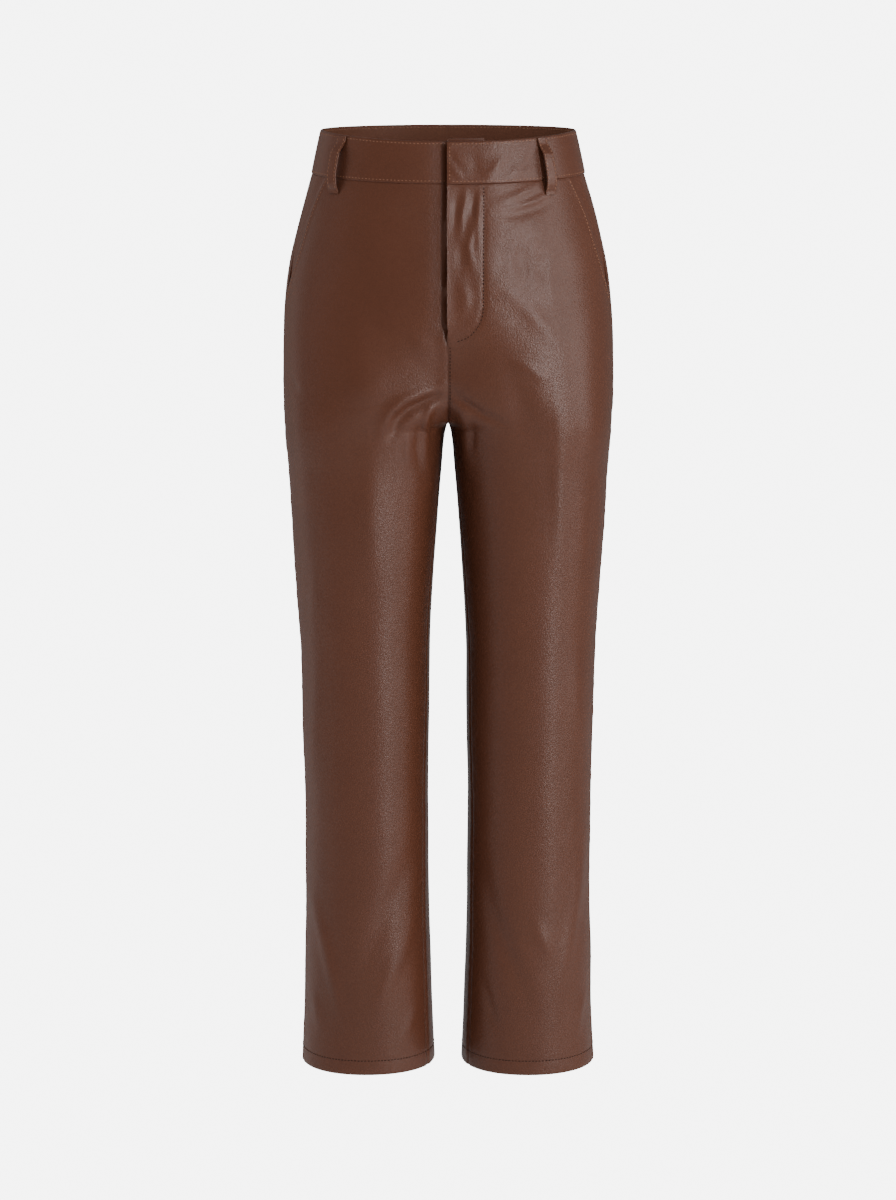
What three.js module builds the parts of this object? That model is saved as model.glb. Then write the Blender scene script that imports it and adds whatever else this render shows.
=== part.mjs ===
// High waisted straight trousers in faux leather, hollow and filled out as if worn.
// Sizes are millimetres, the front faces -Y, the waistband runs round the Z axis.
// The wearer's right is -X. The left front laps over the right at the fly.
import * as THREE from 'three';

// Cloth and seams
const cloth = 1.2;
const seamGap = 0.3;
const bandOutside = 1.0;
const bandInside = -1.4;

// Heights from the middle of the waistband
const waistTop = 21.5;
const waistSeam = -22;
const crotch = -275;
const hem = -950;
const hemTurnTop = -934;
const hemTurnInside = -2.4;
const waistDipTop = 7;
const waistDipSeam = 4;
const waistDipEnd = -150;

// One half of the hips and one leg, level by level. Round is 2 for an ellipse, more is squarer.
const sectionNames = ['z', 'side', 'inner', 'middleX', 'middleY', 'front', 'back', 'round'];
const sectionRows = [
  [26, 126.6, -126.6, 0, 0, 87, 87, 2.15],
  [-3, 133, -133, 0, 0, 90.5, 91, 2.15],
  [-22, 137.4, -137.4, 0, 0, 94, 95, 2.15],
  [-50, 145.5, -145.5, 0, 1, 99, 106, 2.15],
  [-82, 153.8, -153.8, 0, 3, 104, 118, 2.15],
  [-114, 161, -161, 0, 5, 107, 127, 2.2],
  [-140, 164.8, -164.8, 0, 7, 108.5, 132.5, 2.35],
  [-170, 167.2, -154, 11, 9, 109, 136, 2.6],
  [-200, 168.1, -128, 28, 10, 108.5, 137, 2.7],
  [-225, 168.2, -94, 48, 10, 107, 135.5, 2.65],
  [-245, 168, -56, 65, 10, 104.5, 132.5, 2.55],
  [-262, 167.2, -22, 78, 10, 101.5, 129, 2.5],
  [-275, 166.6, 0.15, 83.4, 10, 99, 126, 2.5],
  [-294, 165.6, 4.1, 84.9, 10, 96, 121.5, 2.5],
  [-319, 163.7, 6.1, 84.9, 10, 92.5, 116, 2.42],
  [-369, 161, 10.3, 85.6, 9, 88, 106.5, 2.3],
  [-444, 156.4, 15.4, 85.9, 8, 82.5, 95.5, 2.2],
  [-519, 151.8, 18.6, 85.2, 6, 78, 87, 2.15],
  [-595, 150.3, 19.2, 84.7, 5, 74.5, 81.5, 2.15],
  [-672, 148.4, 20.4, 84.4, 5, 71.5, 78.5, 2.15],
  [-775, 148.3, 19.5, 83.9, 6, 68.5, 76.5, 2.15],
  [-827, 149.8, 18.5, 84.2, 6, 66.5, 76, 2.15],
  [-879, 150.4, 17, 83.7, 7, 65, 76.5, 2.15],
  [-931, 152.6, 14.7, 83.7, 8, 63.5, 77.5, 2.15],
  [-952, 153.8, 13.7, 83.8, 8, 63, 78, 2.15],
];

// Seam lines, as angles round a section from the side towards the front
const seamNames = ['z', 'sideSeam', 'inseam'];
const seamRows = [
  [26, 11, 0],
  [-275, 11, 0],
  [-286, 11, 6],
  [-300, 11, 10],
  [-330, 11, 14],
  [-400, 11, 16.5],
  [-600, 12, 21],
  [-952, 13, 27],
];

// Slanting pocket mouth
const pocketNames = ['z', 'x'];
const pocketRows = [
  [-22, 122.5],
  [-41, 131],
  [-67, 141],
  [-93, 148.5],
  [-108, 153],
  [-137, 161],
  [-152, 164],
];
const pocketBottom = -150;
const pocketTuck = 30;
const pocketSideOutside = -2;

// Fly
const flyLift = 2;
const flyLiftHold = 38;
const flyLiftEnd = 80;
const flyLiftTop = -162;
const flyLiftBottom = -192;
const flyLapTop = -163;
const flyLapBottom = -170;
const flyEdge = -1;
const flyUnder = -6;
const zipMiddle = 14;
const zipTapeHalf = 14;
const zipChainHalf = 3;

// Waistband lap
const bandLift = 2.8;
const bandLiftHold = 42;
const bandLiftEnd = 90;
const underlapEnd = 36;
const underlapRise = 2.5;
const underlapOutside = -0.8;
const underlapInside = -2.8;

// Belt loops
const loopWidth = 11.6;
const loopTop = 20.6;
const loopBottom = -36;
const loopThickness = 1.8;
const loopNames = ['name', 'face', 'topX', 'bottomX'];
const loopRows = [
  ['belt_loop_front_right', 'front', -104, -113],
  ['belt_loop_front_left', 'front', 92, 101],
  ['belt_loop_back_right', 'back', -72, -76],
  ['belt_loop_back_left', 'back', 72, 76],
  ['belt_loop_back_centre', 'back', 0, 0],
];
const loopProfileNames = ['z', 'inside'];
const loopProfileRows = [
  [loopTop, 1.4],
  [16, 1.6],
  [13.5, 2.2],
  [9.5, 4.8],
  [5, 7.4],
  [-3, 8.2],
  [-12, 8.2],
  [-19, 7.6],
  [-25, 6],
  [-30, 3.4],
  [-33, 1.3],
  [loopBottom, 0.7],
];

// Largest folds, each along three points seen from its face
const foldNames = ['face', 'ax', 'az', 'bx', 'bz', 'cx', 'cz', 'width', 'height'];
const foldRows = [
  ['front', -14, -226, -36, -234, -78, -243, 12, 3.4],
  ['front', -10, -240, -43, -248, -66, -268, 9, -3.2],
  ['front', -66, -271, -68, -300, -68, -332, 13, 3],
  ['front', 9, -240, 25, -252, 56, -268, 10, -2.8],
  ['front', 14, -262, 18, -290, 21, -320, 9, 2.2],
  ['front', 58, -130, 91, -155, 124, -184, 14, 2.2],
  ['front', 66, -196, 84, -206, 106, -222, 12, 1.8],
  ['front', -92, -140, -91, -170, -93, -215, 20, 2],
  ['front', -141, -752, -126, -800, -107, -893, 13, 3],
  ['front', -36, -700, -60, -770, -92, -850, 14, -2.8],
  ['front', -40, -815, -56, -860, -72, -905, 13, 2.6],
  ['front', 138, -695, 127, -768, 109, -880, 13, 3],
  ['front', 36, -700, 52, -785, 84, -885, 14, -2.8],
  ['front', 70, -750, 92, -800, 100, -850, 15, 2.4],
  ['front', -134, -480, -135, -560, -143, -640, 11, 1.8],
  ['front', 133, -480, 132, -560, 139, -620, 11, 1.8],
  ['back', 20, -232, 48, -262, 92, -290, 13, -3.4],
  ['back', -20, -236, -50, -268, -90, -298, 13, -3.2],
  ['back', 60, -300, 84, -312, 118, -318, 15, 3],
  ['back', -56, -306, -84, -316, -120, -326, 15, 2.8],
  ['back', 50, -560, 84, -574, 122, -566, 15, -2.8],
  ['back', -48, -572, -86, -590, -124, -580, 15, -3],
  ['back', 58, -640, 90, -655, 120, -650, 15, 2.4],
  ['back', -52, -655, -88, -668, -120, -660, 15, 2.4],
  ['back', 60, -880, 86, -900, 116, -908, 14, -2.4],
  ['back', -58, -868, -84, -892, -112, -904, 14, -2.4],
];

// Levels of the panel grids and cells across them
const hipLevels = [-22.15, -30, -42, -56, -72, -90, -108, -126, -143, -155, -163, -170, -181, -196];
const crotchLevels = [-212, -226, -238, -249, -258, -265, -270, -273.2, -275, -278, -284, -293, -305];
const legLevels = [-322, -345, -375, -410, -450, -490, -530, -570, -610, -650, -690, -730];
const hemLevels = [-770, -808, -842, -875, -905, -933, -934, -950];
const panelLevels = [...hipLevels, ...crotchLevels, ...legLevels, ...hemLevels];
const panelCells = 13;

// Colours
const leatherBrown = 0x5b3527;
const tapeBrown = 0x3a241b;
const metalGrey = 0x9a948c;

// Table reading
const toRows = (names, rows) => rows.map((row) => {
  const entry = {};
  names.forEach((name, at) => {
    entry[name] = row[at];
  });
  return entry;
});

// Smooth reading between the rows of a table, never past the two rows beside it
function tableReader(names, rows) {
  const entries = toRows(names, rows).sort((first, second) => first.z - second.z);
  const slopes = {};
  for (const name of names.slice(1)) {
    const steps = [];
    for (let at = 0; at + 1 < entries.length; at += 1) {
      const rise = entries[at + 1][name] - entries[at][name];
      steps.push(rise / (entries[at + 1].z - entries[at].z));
    }
    slopes[name] = entries.map((entry, at) => {
      if (at === 0) return steps[0];
      if (at === entries.length - 1) return steps[steps.length - 1];
      const before = steps[at - 1];
      const after = steps[at];
      if (before * after <= 0) return 0;
      return (2 * before * after) / (before + after);
    });
  }
  return (z) => {
    const level = Math.min(Math.max(z, entries[0].z), entries[entries.length - 1].z);
    let at = 0;
    while (at < entries.length - 2 && level > entries[at + 1].z) at += 1;
    const low = entries[at];
    const high = entries[at + 1];
    const span = high.z - low.z;
    const t = (level - low.z) / span;
    const values = {};
    for (const name of names.slice(1)) {
      const lowPart = (1 + 2 * t) * (1 - t) * (1 - t) * low[name];
      const highPart = t * t * (3 - 2 * t) * high[name];
      const lowSlope = t * (1 - t) * (1 - t) * span * slopes[name][at];
      const highSlope = t * t * (t - 1) * span * slopes[name][at + 1];
      values[name] = lowPart + highPart + lowSlope + highSlope;
    }
    return values;
  };
}

const sectionAt = tableReader(sectionNames, sectionRows);
const seamAt = tableReader(seamNames, seamRows);
const pocketAt = tableReader(pocketNames, pocketRows);
const loopProfileAt = tableReader(loopProfileNames, loopProfileRows);
const folds = toRows(foldNames, foldRows);

const smooth = (t) => {
  const held = Math.min(Math.max(t, 0), 1);
  return held * held * (3 - 2 * held);
};
const radians = (degrees) => (degrees * Math.PI) / 180;
const mix = (from, to, t) => from + (to - from) * t;

// Point of the cloth line on the left half, angle 0 at the side, 90 at the front, 180 inside
function linePoint(z, angle) {
  const section = sectionAt(z);
  const across = Math.cos(angle);
  const along = Math.sin(angle);
  const power = 2 / section.round;
  const reachX = across > 0 ? section.side - section.middleX : section.middleX - section.inner;
  const reachY = along > 0 ? section.front + section.middleY : section.back - section.middleY;
  const x = section.middleX + Math.sign(across) * Math.abs(across) ** power * reachX;
  const y = section.middleY - Math.sign(along) * Math.abs(along) ** power * reachY;
  return new THREE.Vector3(x, y, z);
}

// Angle at which the cloth line passes a given x on the left half
function angleAtX(z, x) {
  const section = sectionAt(z);
  const side = x > section.middleX;
  const reach = side ? section.side - section.middleX : section.middleX - section.inner;
  const part = Math.min(Math.abs(x - section.middleX) / reach, 1) ** (section.round / 2);
  return side ? Math.acos(part) : Math.PI - Math.acos(part);
}

// Outward direction of the cloth, level near the waist and the hems
function outward(z, angle) {
  const turn = 0.002;
  const before = linePoint(z, angle - turn);
  const after = linePoint(z, angle + turn);
  const round = after.sub(before);
  const level = new THREE.Vector3(round.y, -round.x, 0).normalize();
  const above = linePoint(Math.min(z + 1, 26), angle);
  const below = linePoint(z - 1, angle);
  const rise = above.sub(below);
  const full = new THREE.Vector3().crossVectors(round, rise).normalize();
  if (full.dot(level) < 0) full.negate();
  const share = smooth((-100 - z) / 60) * smooth((z + 930) / 40);
  const facing = level.clone().lerp(full, share).normalize();
  const middle = new THREE.Vector3(sectionAt(z).middleX, sectionAt(z).middleY, z);
  if (facing.dot(linePoint(z, angle).sub(middle)) < 0) facing.negate();
  return facing;
}

// Lowering of the waist at the centre front
function waistDip(z, y) {
  if (y >= 0) return 0;
  const upper = mix(waistDipSeam, waistDipTop, (z - waistSeam) / (waistTop - waistSeam));
  const lower = waistDipSeam * smooth((z - waistDipEnd) / (waistSeam - waistDipEnd));
  return (z > waistSeam ? upper : lower) * (y / 90) ** 2;
}

// Nearest place on one straight part of a fold
function nearPart(x, z, fromX, fromZ, toX, toZ) {
  const lengthX = toX - fromX;
  const lengthZ = toZ - fromZ;
  const share = ((x - fromX) * lengthX + (z - fromZ) * lengthZ) / (lengthX ** 2 + lengthZ ** 2);
  const held = Math.min(Math.max(share, 0), 1);
  const away = Math.hypot(x - fromX - held * lengthX, z - fromZ - held * lengthZ);
  return { away, held };
}

// Height of the folds at a place, seen from the front or the back
function foldHeight(x, z, facingY) {
  let height = 0;
  for (const fold of folds) {
    const toward = fold.face === 'front' ? -facingY : facingY;
    const seen = smooth((toward - 0.12) / 0.4);
    if (seen === 0) continue;
    const upper = nearPart(x, z, fold.ax, fold.az, fold.bx, fold.bz);
    const lower = nearPart(x, z, fold.bx, fold.bz, fold.cx, fold.cz);
    const nearer = upper.away <= lower.away ? upper : lower;
    const along = upper.away <= lower.away ? upper.held / 2 : 0.5 + lower.held / 2;
    const ends = Math.sin(Math.PI * mix(0.08, 0.92, along));
    height += fold.height * ends * seen * Math.exp(-((nearer.away / fold.width) ** 2));
  }
  return height;
}

// Lift of the left front where it laps over the right at the fly
function frontLift(x, z) {
  const acrossShare = 1 - smooth((x - flyLiftHold) / (flyLiftEnd - flyLiftHold));
  const downShare = smooth((z - flyLiftBottom) / (flyLiftTop - flyLiftBottom));
  return flyLift * acrossShare * downShare;
}

// Place on a half, 1 is the wearer's left and -1 the right, moved out by an offset
function place(half, z, angle, offset, lift = 0, folded = true) {
  const point = linePoint(z, angle);
  const direction = outward(z, angle);
  const dip = waistDip(z, point.y);
  const seen = folded ? foldHeight(half * point.x, z, direction.y) : 0;
  const moved = direction.clone();
  moved.x *= smooth(Math.abs(point.x) / 20);
  point.addScaledVector(moved, seen + lift);
  point.addScaledVector(direction, offset);
  return new THREE.Vector3(half * point.x, point.y, point.z - dip);
}

// Closed wall from a grid of outside points and the inside points behind them
function wallGeometry(outside, inside) {
  const rows = outside.length;
  const columns = outside[0].length;
  const positions = [];
  const add = (grid) => {
    for (const row of grid) {
      for (const point of row) positions.push(point.x, point.y, point.z);
    }
  };
  add(outside);
  add(inside);
  const behind = rows * columns;
  const at = (row, column) => row * columns + column;
  const faces = [];
  const quad = (a, b, c, d) => {
    faces.push(a, b, c, a, c, d);
  };
  for (let row = 0; row + 1 < rows; row += 1) {
    for (let column = 0; column + 1 < columns; column += 1) {
      const a = at(row, column);
      const b = at(row, column + 1);
      const c = at(row + 1, column + 1);
      const d = at(row + 1, column);
      quad(a, b, c, d);
      quad(d + behind, c + behind, b + behind, a + behind);
    }
  }
  for (let column = 0; column + 1 < columns; column += 1) {
    const last = rows - 1;
    quad(at(0, column + 1), at(0, column), at(0, column) + behind, at(0, column + 1) + behind);
    const near = at(last, column);
    const far = at(last, column + 1);
    quad(near, far, far + behind, near + behind);
  }
  for (let row = 0; row + 1 < rows; row += 1) {
    const last = columns - 1;
    quad(at(row, 0), at(row + 1, 0), at(row + 1, 0) + behind, at(row, 0) + behind);
    const upper = at(row, last);
    const lower = at(row + 1, last);
    quad(lower, upper, upper + behind, lower + behind);
  }
  let volume = 0;
  for (let face = 0; face < faces.length; face += 3) {
    const corner = (index) => new THREE.Vector3().fromArray(positions, 3 * faces[face + index]);
    volume += corner(0).dot(corner(1).cross(corner(2)));
  }
  if (volume < 0) {
    for (let face = 0; face < faces.length; face += 3) {
      const swap = faces[face + 1];
      faces[face + 1] = faces[face + 2];
      faces[face + 2] = swap;
    }
  }
  const geometry = new THREE.BufferGeometry();
  geometry.setAttribute('position', new THREE.Float32BufferAttribute(positions, 3));
  geometry.setIndex(faces);
  geometry.computeVertexNormals();
  return geometry;
}

const trousers = new THREE.Group();
trousers.name = 'trousers';

function addPiece(name, outside, inside, colour, roughness = 0.45, metalness = 0) {
  const material = new THREE.MeshStandardMaterial({ color: colour, roughness, metalness });
  material.side = THREE.DoubleSide;
  const mesh = new THREE.Mesh(wallGeometry(outside, inside), material);
  mesh.name = name;
  trousers.add(mesh);
}

const grid = (levels, across, pointAt) => levels.map((z) => across.map((share) => pointAt(z, share)));
const shares = (cells) => Array.from({ length: cells + 1 }, (unused, at) => at / cells);

// Inner edge of a front or back panel, the centre seam above the crotch and the inseam below
function innerAngle(half, face, z) {
  const slack = radians(0.12);
  if (z < crotch) {
    const inseam = Math.PI - radians(seamAt(z).inseam);
    return face === 'front' ? inseam - slack : 2 * Math.PI - inseam - slack;
  }
  let x = seamGap / 2;
  if (face === 'front') {
    const lap = smooth((z - flyLapBottom) / (flyLapTop - flyLapBottom));
    x = mix(x, half > 0 ? flyEdge : flyUnder, lap);
  }
  return Math.min(angleAtX(z, x), Math.PI - slack);
}

// Side edge of a front panel, along the pocket mouth where there is one
function frontSideAngle(z) {
  const slack = radians(0.06);
  const seam = radians(seamAt(z).sideSeam) + slack;
  if (z < pocketBottom) return seam;
  return Math.max(angleAtX(z, pocketAt(z).x), seam);
}

const insideOffset = (z) => (z <= hemTurnTop ? hemTurnInside : -cloth);

// Front and back panels
for (const half of [-1, 1]) {
  const sideName = half < 0 ? 'right' : 'left';
  const frontAngle = (z, share) => mix(innerAngle(half, 'front', z), frontSideAngle(z), share);
  const lift = (z, angle) => (half > 0 ? frontLift(linePoint(z, angle).x, z) : 0);
  const frontOut = (z, share) => {
    const angle = frontAngle(z, share);
    return place(half, z, angle, 0, lift(z, angle));
  };
  const frontIn = (z, share) => {
    const angle = frontAngle(z, share);
    return place(half, z, angle, insideOffset(z), lift(z, angle));
  };
  const across = shares(panelCells);
  const frontOutside = grid(panelLevels, across, frontOut);
  const frontInside = grid(panelLevels, across, frontIn);
  addPiece(`front_${sideName}`, frontOutside, frontInside, leatherBrown);

  const backAngle = (z, share) => {
    const seam = radians(seamAt(z).sideSeam) - radians(0.06);
    return mix(-innerAngle(half, 'back', z), seam, share);
  };
  const backOutside = grid(panelLevels, across, (z, share) => place(half, z, backAngle(z, share), 0));
  const backInside = grid(panelLevels, across, (z, share) => {
    return place(half, z, backAngle(z, share), insideOffset(z));
  });
  addPiece(`back_${sideName}`, backOutside, backInside, leatherBrown);
}

// Side pieces under the slanting pocket mouths
const pocketLevels = [-22.15, -32, -44, -58, -74, -92, -110, -128, -146, -160];
for (const half of [-1, 1]) {
  const sideName = half < 0 ? 'right' : 'left';
  const pocketAngle = (z, share) => {
    const tucked = angleAtX(z, pocketAt(z).x - pocketTuck);
    const seam = radians(seamAt(z).sideSeam) + radians(0.06);
    return mix(tucked, seam, share);
  };
  const rise = (z, angle) => {
    const mouth = linePoint(z, angleAtX(z, pocketAt(z).x));
    const clear = linePoint(z, angle).y - mouth.y;
    const room = smooth((z - pocketBottom - 14) / 20);
    return -pocketSideOutside * smooth((clear - 3) / 16) * room;
  };
  const sideOutside = grid(pocketLevels, shares(7), (z, share) => {
    const angle = pocketAngle(z, share);
    return place(half, z, angle, pocketSideOutside + rise(z, angle));
  });
  const sideInside = grid(pocketLevels, shares(7), (z, share) => {
    const angle = pocketAngle(z, share);
    return place(half, z, angle, pocketSideOutside + rise(z, angle) - cloth);
  });
  addPiece(`pocket_side_${sideName}`, sideOutside, sideInside, leatherBrown);
}

// Waistband halves, the right one runs on under the left at the front
const bandLevels = [-21.85, -18, 0, waistTop];
const bandShares = shares(21);
const underlapX = [1.2, -1.2, -13, -25, -underlapEnd];
const bandColumns = [...bandShares.map((share) => ({ share })), ...underlapX.slice(1).map((x) => ({ x }))];

function rightBandAngle(z, column) {
  if (column.x !== undefined) return angleAtX(z, column.x);
  return mix(-angleAtX(z, seamGap / 2), angleAtX(z, underlapX[0]), column.share);
}

function rightBand(offset, lapOffset) {
  return bandLevels.map((z) => bandColumns.map((column) => {
    const under = column.x !== undefined;
    const point = place(-1, z, rightBandAngle(z, column), under ? lapOffset : offset, 0, false);
    if (under && z === waistTop) point.z += underlapRise;
    return point;
  }));
}
addPiece(
  'waistband_right',
  rightBand(bandOutside, underlapOutside),
  rightBand(bandInside, underlapInside),
  leatherBrown,
);

function leftBand(offset) {
  return grid(bandLevels, shares(24), (z, share) => {
    const angle = mix(-angleAtX(z, seamGap / 2), angleAtX(z, flyEdge), share);
    const point = linePoint(z, angle);
    const front = point.y < 0 ? 1 : 0;
    const lifted = 1 - smooth((point.x - bandLiftHold) / (bandLiftEnd - bandLiftHold));
    return place(1, z, angle, offset + front * bandLift * lifted, 0, false);
  });
}
addPiece('waistband_left', leftBand(bandOutside), leftBand(bandInside), leatherBrown);

// Belt loops, narrow strips that stand off the band between their two sewn ends
const loopLevels = [loopTop, 16, 13.5, 11, 8, 5, 0, -6, -12, -17, -21, -25, -28, -31, -33, loopBottom];
for (const loop of toRows(loopNames, loopRows)) {
  const half = loop.topX < 0 ? -1 : 1;
  const strip = (z, across, extra) => {
    const share = (z - loopBottom) / (loopTop - loopBottom);
    const x = mix(Math.abs(loop.bottomX), Math.abs(loop.topX), share);
    const turn = angleAtX(z, x) * (loop.face === 'front' ? 1 : -1);
    const direction = outward(z, turn);
    const middle = linePoint(z, turn);
    const dip = waistDip(z, middle.y);
    const sideways = new THREE.Vector3(-direction.y, direction.x, 0).normalize();
    middle.addScaledVector(sideways, (across - 0.5) * loopWidth);
    middle.addScaledVector(direction, loopProfileAt(z).inside + extra);
    return new THREE.Vector3(half * middle.x, middle.y, middle.z - dip);
  };
  const loopOutside = grid(loopLevels, shares(2), (z, across) => strip(z, across, loopThickness));
  const loopInside = grid(loopLevels, shares(2), (z, across) => strip(z, across, 0));
  addPiece(loop.name, loopOutside, loopInside, leatherBrown);
}

// Place on the left half's cloth line by its x, used for the zip and the metal plates
const layer = (z, x, offset) => place(1, z, angleAtX(z, x), offset, 0, false);

// Zip, a tape with its closed chain standing on both faces
const zipLevels = [-22.4, -42, -42.3, -60, -85, -110, -135, -160];
const zipNames = ['x', 'outside', 'inside', 'chainOutside', 'chainInside'];
const zipRows = [
  [-zipTapeHalf, -1.8, -2.5, -1.8, -2.5],
  [-zipChainHalf - 0.1, -1.8, -2.5, -1.8, -2.5],
  [-zipChainHalf, -1.8, -2.5, -1, -3.1],
  [zipChainHalf, -1.8, -2.5, -1, -3.1],
  [zipChainHalf + 0.1, -1.8, -2.5, -1.8, -2.5],
  [zipTapeHalf, -1.8, -2.5, -1.8, -2.5],
];
const zipColumns = toRows(zipNames, zipRows);
const zipGrid = (face) => zipLevels.map((z) => zipColumns.map((column) => {
  const chained = z < -42.1;
  const chainFace = face === 'outside' ? column.chainOutside : column.chainInside;
  return layer(z, zipMiddle + column.x, chained ? chainFace : column[face]);
}));
addPiece('zip', zipGrid('outside'), zipGrid('inside'), tapeBrown, 0.8);

// Zip slider with its tab turned down over the chain
const sliderNames = ['z', 'half', 'inside'];
const sliderRows = [
  [-28, 3, -1.2],
  [-30, 4.5, -1.2],
  [-38, 4.5, -1.2],
  [-40, 2.4, -0.6],
  [-56, 2.2, -0.6],
  [-57.5, 1.2, -0.6],
];
const sliderGrid = (outside) => toRows(sliderNames, sliderRows).map((row) => {
  return [-1, 0, 1].map((side) => {
    return layer(row.z, zipMiddle + side * row.half, outside ? 0 : row.inside);
  });
});
addPiece('zip_slider', sliderGrid(true), sliderGrid(false), metalGrey, 0.3, 1);

// Flat hook inside the lap and its bar on the underlap
const plateGrid = (from, to, low, high, offset) => grid([low, high], shares(2), (z, share) => {
  return layer(z, mix(from, to, share), offset);
});
addPiece('hook', plateGrid(5, 15.5, -6, 5, 1), plateGrid(5, 15.5, -6, 5, 0.1), metalGrey, 0.3, 1);
addPiece('bar', plateGrid(17, 25, -4, 3, 0.4), plateGrid(17, 25, -4, 3, -0.4), metalGrey, 0.3, 1);

export default trousers;
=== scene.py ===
# Brown faux leather trousers, filled out as if worn, with a lapped fly and slanting pockets.
import math

import bpy
import numpy as np
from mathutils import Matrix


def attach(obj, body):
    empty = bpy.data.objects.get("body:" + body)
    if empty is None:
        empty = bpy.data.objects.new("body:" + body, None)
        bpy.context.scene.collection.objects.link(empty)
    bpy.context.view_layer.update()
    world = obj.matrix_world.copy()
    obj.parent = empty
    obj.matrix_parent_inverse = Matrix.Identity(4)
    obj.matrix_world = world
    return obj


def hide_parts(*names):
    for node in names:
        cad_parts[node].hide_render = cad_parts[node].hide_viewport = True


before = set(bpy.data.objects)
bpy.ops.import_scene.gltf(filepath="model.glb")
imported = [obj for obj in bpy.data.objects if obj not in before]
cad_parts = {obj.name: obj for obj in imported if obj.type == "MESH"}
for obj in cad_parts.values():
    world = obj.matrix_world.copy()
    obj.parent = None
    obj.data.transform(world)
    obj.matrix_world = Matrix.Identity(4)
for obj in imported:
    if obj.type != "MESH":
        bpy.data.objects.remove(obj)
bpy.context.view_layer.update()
MM = 0.001


# Camera, a long lens a little above the hips and looking slightly down
CAMERA_DISTANCE = 3.9
CAMERA_TILT = math.radians(10.4)
LOOK_AT_HEIGHT = -0.4603
LENS = 113.6
SENSOR_WIDTH = 36.0
FAR_CLIP = 60.0

camera_data = bpy.data.cameras.new("camera")
camera_data.sensor_width = SENSOR_WIDTH
camera_data.lens = LENS
camera_data.clip_end = FAR_CLIP
camera = bpy.data.objects.new("camera", camera_data)
bpy.context.collection.objects.link(camera)
camera.location = (
    0.0,
    -CAMERA_DISTANCE * math.cos(CAMERA_TILT),
    LOOK_AT_HEIGHT + CAMERA_DISTANCE * math.sin(CAMERA_TILT),
)
camera.rotation_euler = (math.pi / 2 - CAMERA_TILT, 0.0, 0.0)
bpy.context.scene.camera = camera


# Sizes of the cut, in millimetres from the middle of the waistband
CLOTH = 1.2
WAIST_TOP = 21.5
BAND_FOOT = -21.85
WAIST_SEAM = -22.0
POCKET_BOTTOM = -150.0
CROTCH = -275.0
HEM_TURN_TOP = -933.5
HEM_TURN_WALL = 2.4
HEM = -950.0

# The sign of x on each half, and its name
HALVES = ((-1, "right"), (1, "left"))

# The fly: the foot of its lift and of its lapped edge, and how far its edges reach past the centre
FLY_FOOT = -192.0
FLY_FADE = 30.0
LAP_FOOT = -170.0
LAP_REACH = 1.0
LAP_EDGE = -LAP_REACH
UNDERLAP_REACH = 6.0

# Lowering of the waist at the centre front, at its top and at its seam
TOP_DIP = 7.0
SEAM_DIP = 4.0
DIP_FADE = 128.0
FRONT_DEPTH = 90.0

# Sections of the left half from the top down: z is their height, side and inner their edges,
# middle_x and middle_y their middle, front and back their reach from the upright axis, and
# round the power of their oval, where 2 is an ellipse and more is squarer
SECTIONS = dict(
    z=[26, -3, -22, -50, -82, -114, -140, -170, -200, -225, -245, -262, -275, -294, -319, -369,
       -444, -519, -595, -672, -775, -827, -879, -931, -952],
    side=[126.6, 133, 137.4, 145.5, 153.8, 161, 164.8, 167.2, 168.1, 168.2, 168, 167.2, 166.6,
          165.6, 163.7, 161, 156.4, 151.8, 150.3, 148.4, 148.3, 149.8, 150.4, 152.6, 153.8],
    inner=[-126.6, -133, -137.4, -145.5, -153.8, -161, -164.8, -154, -128, -94, -56, -22, 0.15,
           4.1, 6.1, 10.3, 15.4, 18.6, 19.2, 20.4, 19.5, 18.5, 17, 14.7, 13.7],
    middle_x=[0, 0, 0, 0, 0, 0, 0, 11, 28, 48, 65, 78, 83.4, 84.9, 84.9, 85.6, 85.9, 85.2, 84.7,
              84.4, 83.9, 84.2, 83.7, 83.7, 83.8],
    middle_y=[0, 0, 0, 1, 3, 5, 7, 9, 10, 10, 10, 10, 10, 10, 10, 9, 8, 6, 5, 5, 6, 6, 7, 8, 8],
    front=[87, 90.5, 94, 99, 104, 107, 108.5, 109, 108.5, 107, 104.5, 101.5, 99, 96, 92.5, 88,
           82.5, 78, 74.5, 71.5, 68.5, 66.5, 65, 63.5, 63],
    back=[87, 91, 95, 106, 118, 127, 132.5, 136, 137, 135.5, 132.5, 129, 126, 121.5, 116, 106.5,
          95.5, 87, 81.5, 78.5, 76.5, 76, 76.5, 77.5, 78],
    round=[2.15, 2.15, 2.15, 2.15, 2.15, 2.2, 2.35, 2.6, 2.7, 2.67, 2.67, 2.69, 2.71, 2.62, 2.46,
           2.3, 2.2, 2.15, 2.15, 2.15, 2.15, 2.15, 2.15, 2.15, 2.15],
)

# Where the side seam and the inseam lie, in degrees from the side and the inner edge to the front
SEAMS = dict(
    z=[26, -275, -286, -300, -330, -400, -600, -952],
    side_seam=[11, 11, 11, 11, 11, 11, 12, 13],
    inseam=[0, 0, 6, 10, 14, 16.5, 21, 27],
)

# Line of the slanting pocket mouth
POCKET_MOUTH = dict(
    z=[-22, -41, -67, -93, -108, -137, -152],
    x=[122.5, 131, 141, 148.5, 153, 161, 164],
)


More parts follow.
